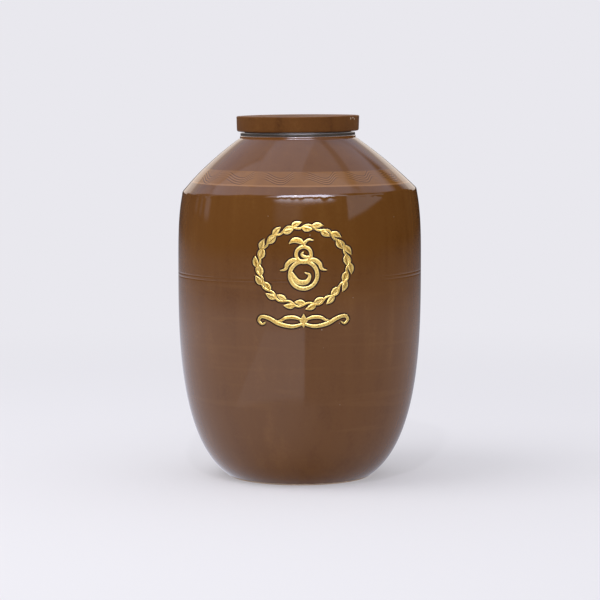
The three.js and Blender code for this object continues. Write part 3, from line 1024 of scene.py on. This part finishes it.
def jar_glaze_material():
    """Brown see-through glaze over stoneware: cloudy depth, wiped streaks, a paler slip band with combed
    lines and a thin line at its lower edge, an amber neck, pinholes and bare spots, two painted highlights
    at the neck, and a bare foot."""
    jar = bpy.context.scene.wine_jar
    material, nodes, surface, place = new_material("jar_glaze")
    height = nodes.add("SeparateXYZ", {0: place}).outputs["Z"]
    level = nodes.plus(height, nodes.times(nodes.minus(nodes.noise(place, 30.0, 4.0), 0.5), 1.6 * MM))
    base = see_through(nodes, place, jar.glaze_thin, jar.glaze_colour, jar.glaze_deep, 0.28)
    drawn = nodes.add("Mapping", {"Vector": place, "Rotation": (0, 0.75, 0), "Scale": (2.0, 2.0, 26.0)})
    wiped = nodes.between(nodes.noise(drawn.outputs[0], 2.4, 4.0, 0.55, 0.4), 0.56, 0.7)
    wiped = nodes.times(wiped, nodes.between(height, EDGE_HEIGHT - 40 * MM, SEAM_HEIGHT - 60 * MM))
    base = nodes.coat(base, wiped, 0.4, jar.glaze_thin)
    neck = nodes.between(level, NECK_FOOT_HEIGHT - 3 * MM, NECK_FOOT_HEIGHT - MM)
    base = nodes.coat(base, neck, 0.9, jar.neck_colour)
    band_top = nodes.between(level, BAND_HIGH + 0.3 * MM, BAND_HIGH - 0.5 * MM)
    band = nodes.times(band_top, nodes.between(level, BAND_LOW - 0.4 * MM, BAND_LOW + 0.4 * MM))
    cloud = nodes.between(nodes.noise(place, 26.0, 5.0, 0.6), 0.3, 0.7)
    slip = nodes.blend(cloud, colour(jar.band_colour), colour(jar.band_pale))
    base = nodes.blend(nodes.times(band, 0.85), base, slip)
    from_edge = nodes.math("ABSOLUTE", nodes.minus(level, BAND_LOW + 0.7 * MM))
    base = nodes.coat(base, nodes.between(from_edge, 1.5 * MM, 0.4 * MM), 0.5, jar.band_line)
    touched = nodes.attribute("comb_mask")
    tooth = nodes.math("ABSOLUTE", nodes.minus(nodes.math("FRACT", nodes.attribute("comb_phase")), 0.5))
    base = nodes.coat(base, nodes.times(nodes.between(tooth, 0.24, 0.1), touched), 0.75, jar.comb_colour)
    base = nodes.coat(base, nodes.times(nodes.between(tooth, 0.3, 0.45), touched), 0.45, jar.band_line)
    base = nodes.coat(base, speckled(nodes, place, 95.0, 0.022, 0.16), 0.7, jar.pinhole_and_glint_colour)
    # Pale round spots: bare spots in the glaze, and two painted highlights at the neck.
    marks = nodes.group(shader_group("wall_marks"), {"Vector": place})["Mask"]
    base = nodes.coat(base, marks, 0.7, jar.pinhole_and_glint_colour)
    base = nodes.coat(base, speckled(nodes, place, 160.0, 0.05, 0.22), 0.35, jar.glaze_deep)
    ragged = nodes.math("MULTIPLY_ADD", nodes.noise(place, 90.0, 4.0), 1.6 * MM, height)
    bare = nodes.between(ragged, 3.6 * MM, 3.0 * MM)
    clay = nodes.blend(nodes.noise(place, 320.0, 3.0), colour(jar.clay_colour), colour(jar.clay_dark))
    rough, ripple = fired_skin(nodes, place, jar.glaze_gloss, 0.05)
    rough = nodes.math("MULTIPLY_ADD", wiped, 0.05, rough)
    nodes.feed(surface, {
        "Base Color": nodes.blend(bare, base, clay),
        "Roughness": nodes.mix(bare, rough, 0.85),
        "Normal": nodes.bump(ripple, 0.05 * MM),
        "IOR": 1.52,
    })
    return material


def lid_glaze_material():
    """The same glaze laid thinner: more speckled, duller, and chipped along the upper edge."""
    jar = bpy.context.scene.wine_jar
    material, nodes, surface, place = new_material("lid_glaze")
    base = see_through(nodes, place, jar.lid_thin, jar.lid_colour, jar.lid_deep, 0.35)
    base = nodes.coat(base, speckled(nodes, place, 330.0, 0.16, 0.42), 0.5, jar.lid_deep)
    base = nodes.coat(base, speckled(nodes, place, 210.0, 0.05, 0.3), 0.4, jar.lid_thin)
    chipped = nodes.between(nodes.attribute("chips"), 0.25, 0.6)
    rough, ripple = fired_skin(nodes, place, 0.5, 0.2)
    nodes.feed(surface, {
        "Base Color": nodes.blend(chipped, base, colour(jar.pinhole_and_glint_colour)),
        "Roughness": nodes.mix(chipped, rough, 0.8),
        "Normal": nodes.bump(ripple, 0.08 * MM),
        "IOR": 1.5,
        "Specular IOR Level": 0.06,
    })
    return material


def silicone_material():
    """Cloudy soft rubber with a little dust."""
    jar = bpy.context.scene.wine_jar
    material, nodes, surface, place = new_material("silicone")
    dust = nodes.between(nodes.noise(place, 140.0, 5.0, 0.7), 0.45, 0.75)
    dark = tuple(0.72 * channel for channel in jar.seal_colour)
    nodes.feed(surface, {
        "Base Color": nodes.blend(dust, colour(dark), colour(jar.seal_colour)),
        "Roughness": nodes.between(dust, 0.0, 1.0, 0.38, 0.6),
        "Normal": nodes.bump(dust, 0.05 * MM, 0.6),
        "IOR": 1.42,
        "Subsurface Weight": 0.15,
        "Subsurface Radius": (0.003, 0.0025, 0.002),
    })
    return material


def gold_material():
    """Fired-on gold: crumpled and rubbed through in places, with painted shade in the hollows of its
    crumple, a painted highlight along the edges of its strokes, and a dark outline and vein grooves of
    painted shade."""
    jar = bpy.context.scene.wine_jar
    material, nodes, surface, place = new_material("fired_gold")
    edge, vein, tone = (nodes.attribute(name) for name in ("edge", "vein", "tone"))
    crumple = nodes.noise(place, 420.0, 5.0, 0.62, 0.6)
    worn = nodes.noise(place, 620.0, 4.0, 0.7)
    # Darker where the crumple's bump is low: painted shade in its hollows.
    base = nodes.blend(nodes.between(crumple, 0.36, 0.64), colour(jar.gold_hollow_shade), colour(jar.gold_colour))
    # Paler along the sides of each stroke, which is a painted highlight, and paler on some whole strokes,
    # which is their own tone.
    bright = nodes.math("MAXIMUM", nodes.between(edge, 0.5, 0.9), nodes.times(tone, 0.45))
    base = nodes.coat(base, bright, 0.75, jar.gold_highlight_and_tone)
    # The outline colour also goes where the gold is rubbed through, which is wear, and along the vein groove
    # of each leaf, which is painted shade.
    through = nodes.times(nodes.between(worn, 0.53, 0.64), nodes.between(tone, -0.3, 0.8))
    through = nodes.times(through, nodes.between(edge, 0.95, 0.6))
    rib = nodes.times(nodes.between(edge, 0.2, 0.06), vein)
    through = nodes.math("MAXIMUM", nodes.times(through, 0.7), rib)
    # A dark strip round every stroke: painted shade along the gold's engraved edge.
    outline = nodes.between(edge, 1.0, 1.12)
    for wear_and_shade in (through, outline):
        base = nodes.blend(wear_and_shade, base, colour(jar.gold_outline_shade_and_wear))
    nodes.feed(surface, {
        "Base Color": base,
        "Metallic": nodes.between(outline, 0.0, 1.0, jar.gold_metal, 0.0),
        "Roughness": nodes.mix(outline, nodes.between(crumple, 0.3, 0.7, 0.52, 0.34), 0.8),
        "Normal": nodes.bump(crumple, 0.05 * MM, 0.8),
        "Specular IOR Level": 0.25,
    })
    return material


# ---------------------------------------------------------------- settings


def srgb(red, green, blue):
    """A linear colour from 0 to 255 display values."""
    display = np.array([red, green, blue]) / 255
    linear = np.where(display <= 0.04045, display / 12.92, ((display + 0.055) / 1.055) ** 2.4)
    return tuple(float(channel) for channel in linear)


def colour_property(name, description, red, green, blue):
    """A colour setting whose default is given as display values."""
    return bpy.props.FloatVectorProperty(
        name=name, description=description, default=srgb(red, green, blue), subtype="COLOR", min=0, max=1
    )


def length_property(name, description, millimetres):
    """A length setting whose default is given in millimetres."""
    return bpy.props.FloatProperty(
        name=name, description=description, default=millimetres * MM, subtype="DISTANCE", unit="LENGTH"
    )


class WineJarSettings(bpy.types.PropertyGroup):
    """Sizes and colours of the jar, its lid and its ornament."""

    seam_depth: length_property("Seam depth", "Depth of the grooves where the sections were luted", 0.13)
    lip_height: length_property("Glaze lip", "Thickness of the glaze that rolled over the crease", 0.22)
    band_height: length_property("Band height", "Thickness of the slip band on the shoulder", 0.08)
    comb_depth: length_property("Comb depth", "Depth of the combed lines", 0.05)
    comb_pitch: length_property("Comb pitch", "Distance between two teeth of the comb, upwards", 2.7)
    comb_swing: length_property("Comb swing", "Height of the swags that the comb drew", 7.2)
    comb_swags: bpy.props.IntProperty(name="Swags", description="Swags round the band", default=15)
    comb_teeth: bpy.props.IntProperty(name="Teeth", description="Teeth of the comb", default=4)
    gold_height: length_property("Gold height", "How far the gold strokes stand out", 0.28)
    outline_width: length_property("Outline width", "Width of the dark line round the gold", 2.3)
    glaze_colour: colour_property("Glaze", "Glaze of ordinary depth", 105, 66, 28)
    glaze_thin: colour_property("Thin glaze", "Glaze where it lies thin", 115, 75, 35)
    glaze_deep: colour_property("Deep glaze", "Glaze where it has pooled", 95, 57, 21)
    band_colour: colour_property("Slip band", "Slip band under the glaze", 124, 81, 35)
    band_pale: colour_property("Pale slip", "Lighter patches of the band", 136, 92, 43)
    band_line: colour_property("Band line", "Line along the lower edge of the band", 166, 120, 78)
    comb_colour: colour_property("Combed lines", "Bottom of the combed lines", 74, 44, 22)
    neck_colour: colour_property("Neck glaze", "Glaze that ran thin on the neck", 118, 73, 32)
    # This pale colour is bare clay in pinholes and chips, and also the two painted highlights at the neck.
    pinhole_and_glint_colour: colour_property("Pinholes", "Bare clay in pinholes and chips", 196, 178, 158)
    clay_colour: colour_property("Clay", "Bare clay of the foot", 205, 184, 160)
    clay_dark: colour_property("Dark clay", "Darker grains of the bare clay", 168, 142, 116)
    lid_colour: colour_property("Lid glaze", "Glaze of the lid", 100, 63, 30)
    lid_thin: colour_property("Thin lid glaze", "Lid glaze where it lies thin", 118, 78, 42)
    lid_deep: colour_property("Deep lid glaze", "Lid glaze where it has pooled", 80, 48, 22)
    seal_colour: colour_property("Seal", "Silicone ring", 78, 66, 54)
    gold_colour: colour_property("Gold", "Gold of the ornament", 232, 190, 92)
    # Paler gold: a painted highlight along the edges of the strokes, and the tone of some whole strokes.
    gold_highlight_and_tone: colour_property("Bright gold", "Edges of the gold", 253, 226, 146)
    # Darker gold: painted shade in the hollows of the crumple.
    gold_hollow_shade: colour_property("Deep gold", "Hollows of the gold", 172, 124, 44)
    # Dark colour of the outline and vein grooves, which is painted shade, and of the rubbed-through gold,
    # which is wear.
    gold_outline_shade_and_wear: colour_property("Gold outline", "Burnt line round the gold", 40, 16, 4)
    gold_metal: bpy.props.FloatProperty(
        name="Metal", description="How metallic the gold is", default=0.45, subtype="FACTOR", min=0, max=1
    )
    glaze_gloss: bpy.props.FloatProperty(
        name="Gloss", description="Roughness of clean glaze", default=0.06, subtype="FACTOR", min=0, max=1
    )


class WineJarStudioSettings(bpy.types.PropertyGroup):
    """Camera, floor and light of the studio."""

    camera_distance: bpy.props.FloatProperty(
        name="Camera distance", description="From the jar's axis", default=3.519, unit="LENGTH"
    )
    camera_height: bpy.props.FloatProperty(
        name="Camera height", description="Above the floor", default=0.5805, unit="LENGTH"
    )
    camera_pitch: bpy.props.FloatProperty(
        name="Camera pitch", description="Downwards", default=math.radians(5.4565), subtype="ANGLE"
    )
    lens: bpy.props.FloatProperty(name="Lens", description="Focal length in millimetres", default=152.6)
    backdrop_colour: colour_property("Backdrop", "What the camera sees behind the jar", 233, 232, 238)
    floor_colour: colour_property("Floor", "Paper on the floor", 229, 228, 234)
    key_power: bpy.props.FloatProperty(
        name="Key power", description="Large light at the front left", default=20.0
    )
    ambient: bpy.props.FloatProperty(name="Ambient", description="Light from all round", default=0.83)


# ---------------------------------------------------------------- studio


def studio_card_group():
    """A soft-edged panel of light between two azimuths and two elevations in degrees. Lean raises
    its low edge towards the right, and Rake moves its left edge to the right with elevation."""
    sockets = [(name, "Float", 0.0) for name in ("Azimuth", "Elevation", *CARD_SIDES)]
    tree, nodes, given, result = new_group("studio_card", sockets, [("Light", "Float")])
    soft = given["Soft"]
    from_left = nodes.minus(given["Azimuth"], given["Left"])
    low = nodes.math("MULTIPLY_ADD", from_left, given["Lean"], given["Low"])
    from_low = nodes.minus(given["Elevation"], given["Low"])
    left = nodes.math("MULTIPLY_ADD", from_low, given["Rake"], given["Left"])

    def side(value, edge, sign):
        """1 on the inner side of an edge."""
        gap = nodes.times(nodes.minus(value, edge), sign)
        return nodes.between(gap, nodes.times(soft, -0.5), nodes.times(soft, 0.5))

    across = nodes.times(side(given["Azimuth"], left, 1), side(given["Azimuth"], given["Right"], -1))
    up = nodes.times(side(given["Elevation"], low, 1), side(given["Elevation"], given["High"], -1))
    inside = nodes.times(across, up)
    tree.links.new(nodes.times(inside, given["Brightness"]), result["Light"])
    return tree


# Each card has a number for each of these. Azimuths are 0 towards the camera's
# side of the jar and positive to its right, and all angles are in degrees.
CARD_SIDES = ("Left", "Right", "Low", "High", "Soft", "Lean", "Rake", "Brightness")
STUDIO_CARDS = (
    (47, 92, 6, 24, 2, 0.14, 0, 0.93),
    (-104, -97, 3, 62, 4, 0, 0, 0.6),
    (-112, -108, 3, 50, 3, 0, 0, 0.25),
    (-121, -116, 3, 50, 3, 0, 0, 0.2),
    (-24, 1, 4, 30, 12, 0, 0, 0.4),
    (-34, 50, 18.5, 60, 3, 0, 0, 2.2),
    (-24, 34, 18.5, 60, 7, 0, 0, 15.0),
    (-76, 5.5, -27, -8.5, 3.2, 0, 2.4, 1.06),
    (-400, 400, 61, 200, 9, 0, 0, 1.06),
    (-400, -148, 4, 20, 3, 0, 0, 1.15),
    (148, 400, 4, 20, 3, 0, 0, 1.15),
    (-400, -128, 12, 200, 9, 0, 0, 0.66),
    (-130, -92, 36, 200, 8, 0, 0, 1.0),
    (92, 152, 36, 200, 8, 0, 0, 0.7),
    (150, 400, 12, 200, 8, 0, 0, 0.66),
)
DARK_WEDGE = (112, 152, 58, 88, 3, 0, 0, 0.34)


def studio_world(studio):
    """The camera sees a plain pale backdrop, matt surfaces get even light, and glossy ones see a
    dim room with light panels, above a pale floor that is brighter on the left."""
    world = bpy.data.worlds.new("studio")
    bpy.context.scene.world = world
    nodes = empty_tree(world)
    direction = nodes.add("TexCoord").outputs["Generated"]
    axes = nodes.add("SeparateXYZ", {0: direction}).outputs
    elevation = nodes.times(nodes.math("ARCSINE", axes["Z"]), 180 / math.pi)
    towards = nodes.times(axes["Y"], -1.0)
    azimuth = nodes.times(nodes.math("ARCTAN2", axes["X"], towards), 180 / math.pi)
    rightwards = nodes.between(azimuth, -12, 30)
    room = nodes.between(rightwards, 0, 1, 0.05, 0.01)
    near_left = nodes.between(elevation, -24, -84, 0.84, 0.34)
    near_right = nodes.between(elevation, -40, -86, 0.48, 0.26)
    sharp = nodes.between(azimuth, 3, 6)
    gentle = nodes.between(azimuth, -30, 45)
    turn = nodes.mix(nodes.between(elevation, -30, -24), gentle, sharp)
    floor = nodes.mix(turn, near_left, near_right)
    below = nodes.between(elevation, -2.2, -8.8)
    light = nodes.mix(below, room, floor)
    card = studio_card_group()

    def shown(row):
        """The light of one card."""
        settings = {"Azimuth": azimuth, "Elevation": elevation, **dict(zip(CARD_SIDES, row))}
        return nodes.group(card, settings)["Light"]

    for row in STUDIO_CARDS:
        light = nodes.math("MAXIMUM", light, shown(row))
    light = nodes.minus(light, shown(DARK_WEDGE))
    behind = nodes.between(nodes.math("ABSOLUTE", azimuth), 135, 150)
    warm = nodes.times(behind, nodes.between(elevation, 28, 18))
    warm = nodes.times(warm, nodes.between(elevation, 0, 4))
    cool = nodes.blend(nodes.between(elevation, 20, 40), (0.92, 0.95, 1.1, 1), (0.87, 0.94, 1.24, 1))
    tint = nodes.blend(warm, cool, (1.06, 0.96, 0.88, 1))
    glossy = nodes.add("Background", {"Color": tint, "Strength": light})
    even = nodes.add("Background", {"Color": (0.985, 0.985, 1.0, 1), "Strength": studio.ambient})
    seen = nodes.add("Background", {"Color": colour(studio.backdrop_colour), "Strength": 1.0})
    path = nodes.add("LightPath").outputs
    lit = nodes.add("MixShader", {0: path["Is Glossy Ray"], 1: even.outputs[0], 2: glossy.outputs[0]})
    whole = nodes.add("MixShader", {0: path["Is Camera Ray"], 1: lit.outputs[0], 2: seen.outputs[0]})
    output = nodes.add("OutputWorld")
    nodes.tree.links.new(whole.outputs[0], output.inputs["Surface"])


def studio_floor(studio):
    """A round sheet of pale paper that fades into the backdrop away from the jar. Near the jar a third of
    its light is its own glow: painted light that lightens the shadows on it.
    """
    reach = np.linspace(0, FLOOR_RADIUS, FLOOR_RINGS)[:, None]
    angle = np.linspace(0, TURN, FLOOR_SPOKES, endpoint=False)[None, :]
    points = np.stack([reach * np.sin(angle), reach * np.cos(angle), 0 * reach * angle], -1)
    faces = grid_faces(FLOOR_RINGS, FLOOR_SPOKES, False, True)
    faces = np.where(faces < FLOOR_SPOKES, 0, faces)[:, ::-1]
    floor = grid_object("studio_floor", points, faces)
    material = bpy.data.materials.new("paper_floor")
    nodes = empty_tree(material)
    place = nodes.add("TexCoord").outputs["Object"]
    away = nodes.add("VectorMath", {0: place}, operation="LENGTH").outputs["Value"]
    paper = nodes.add("BsdfDiffuse", {"Color": colour(studio.floor_colour)})
    glow = nodes.add("Emission", {"Color": colour(studio.backdrop_colour)})
    # Share of glow: a third near the jar, painted light on the paper's shadows, and all of it far away,
    # where the paper becomes the backdrop.
    fade = nodes.between(away, 0.7, 2.0, 0.34, 1.0)
    mixed = nodes.add("MixShader", {0: fade, 1: paper.outputs[0], 2: glow.outputs[0]})
    output = nodes.add("OutputMaterial")
    material.node_tree.links.new(mixed.outputs[0], output.inputs["Surface"])
    floor.data.materials.append(material)
    floor.visible_glossy = False


def area_light(name, place, aim, size, power, glossy=False):
    """A round soft light that points from a place to an aim."""
    data = bpy.data.lights.new(name, "AREA")
    data.shape = "DISK"
    data.size = size
    data.energy = power
    light = bpy.data.objects.new(name, data)
    light.location = place
    light.rotation_euler = (Vector(aim) - Vector(place)).to_track_quat("-Z", "Y").to_euler()
    light.visible_glossy = glossy
    light.visible_camera = False
    bpy.context.scene.collection.objects.link(light)


def studio_camera(studio):
    """A long lens in front of the jar, a little above it, looking slightly down."""
    data = bpy.data.cameras.new("camera")
    data.sensor_width = 36
    data.lens = studio.lens
    data.clip_end = 50
    camera = bpy.data.objects.new("camera", data)
    turned = Matrix.Rotation(CAMERA_YAW, 4, "Z") @ Matrix.Rotation(math.pi / 2 - studio.camera_pitch, 4, "X")
    camera.matrix_world = Matrix.Translation((0, -studio.camera_distance, studio.camera_height)) @ turned
    bpy.context.scene.collection.objects.link(camera)
    bpy.context.scene.camera = camera


# ---------------------------------------------------------------- operators


def finish_piece(obj, body, material, slot, *nodes):
    """Gives a new piece its material and body, and hides the nodes it stands for. The slot is not used."""
    obj.data.materials.append(material)
    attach(obj, body)
    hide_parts(*nodes)


class WINEJAR_OT_turn_jar(bpy.types.Operator):
    """Build the two glazed sections of the jar."""

    bl_idname = "winejar.turn_jar"
    bl_label = "Turn Jar Sections"

    def execute(self, context):
        glaze = jar_glaze_material()
        lower = turned_object("jar_lower", jar_lower_section(), LOWER_COLUMNS, lower_relief)
        finish_piece(lower, "jar", glaze, "jar_glaze", "jar_lower_section")
        combed = {"comb_phase": comb_phase, "comb_mask": comb_mask}
        upper = turned_object("jar_upper", jar_upper_section(), UPPER_COLUMNS, upper_relief, True, combed)
        finish_piece(upper, "jar", glaze, "jar_glaze", "jar_upper_section")
        return {"FINISHED"}


class WINEJAR_OT_turn_lid(bpy.types.Operator):
    """Build the disc lid with its spigot."""

    bl_idname = "winejar.turn_lid"
    bl_label = "Turn Lid"

    def execute(self, context):
        chips = {"chips": lid_chips}
        lid = turned_object("disc_lid", lid_profile(), LID_COLUMNS, lid_relief, False, chips)
        lid.visible_glossy = False
        finish_piece(lid, "lid", lid_glaze_material(), "lid_glaze", "lid")
        return {"FINISHED"}


class WINEJAR_OT_mould_seal(bpy.types.Operator):
    """Build the silicone ring between the rim and the lid."""

    bl_idname = "winejar.mould_seal"
    bl_label = "Mould Seal Ring"

    def execute(self, context):
        seal = turned_object("silicone_ring", seal_profile(), SEAL_COLUMNS, None, True)
        seal.visible_glossy = False
        finish_piece(seal, "seal_ring", silicone_material(), "silicone", "seal_ring")
        return {"FINISHED"}


class WINEJAR_OT_gild(bpy.types.Operator):
    """Build the three gold ornaments on the front of the jar."""

    bl_idname = "winejar.gild"
    bl_label = "Gild Ornament"

    def execute(self, context):
        gold = gold_material()
        parts = (
            ("vine_ring", vine_ring_strips(), VINE_CENTRE, "gold_vine_ring"),
            ("gourd", gourd_strips(), GOURD_CENTRE, "gold_gourd"),
            ("cloud_scroll", cloud_scroll_strips(), SCROLL_CENTRE, "gold_cloud_scroll"),
        )
        for name, strips, height, node in parts:
            finish_piece(ornament_object(name, strips, height), "jar", gold, "gold", node)
        return {"FINISHED"}


class WINEJAR_OT_studio(bpy.types.Operator):
    """Build the floor, the lights, the world and the camera."""

    bl_idname = "winejar.studio"
    bl_label = "Set Up Studio"

    def execute(self, context):
        studio = context.scene.wine_jar_studio
        context.scene.view_settings.view_transform = "Standard"
        studio_world(studio)
        studio_floor(studio)
        area_light("key_softbox", KEY_PLACE, (0, 0, 0.2), KEY_SIZE, studio.key_power)
        area_light("front_strobe", STROBE_PLACE, (0, 0, 0.4), STROBE_SIZE, STROBE_POWER, glossy=True)
        studio_camera(studio)
        return {"FINISHED"}


class WINEJAR_PT_panel(bpy.types.Panel):
    """The jar's steps and settings in the sidebar."""

    bl_idname = "WINEJAR_PT_panel"
    bl_label = "Wine Jar"
    bl_space_type = "VIEW_3D"
    bl_region_type = "UI"
    bl_category = "Wine Jar"

    def draw(self, context):
        for operator in OPERATORS:
            self.layout.operator(operator.bl_idname)
        for settings in (context.scene.wine_jar, context.scene.wine_jar_studio):
            for name in settings.__annotations__:
                self.layout.prop(settings, name)


OPERATORS = (
    WINEJAR_OT_turn_jar,
    WINEJAR_OT_turn_lid,
    WINEJAR_OT_mould_seal,
    WINEJAR_OT_gild,
    WINEJAR_OT_studio,
)
CLASSES = (WineJarSettings, WineJarStudioSettings, *OPERATORS, WINEJAR_PT_panel)


def register():
    """Adds the classes and the two groups of settings."""
    for cls in CLASSES:
        bpy.utils.register_class(cls)
    bpy.types.Scene.wine_jar = bpy.props.PointerProperty(type=WineJarSettings)
    bpy.types.Scene.wine_jar_studio = bpy.props.PointerProperty(type=WineJarStudioSettings)


def unregister():
    """Takes them away again."""
    del bpy.types.Scene.wine_jar_studio
    del bpy.types.Scene.wine_jar
    for cls in reversed(CLASSES):
        bpy.utils.unregister_class(cls)


def main():
    """Runs every step in order."""
    register()
    for operator in OPERATORS:
        group, name = operator.bl_idname.split(".")
        getattr(getattr(bpy.ops, group), name)()


if __name__ == "__main__":
    main()
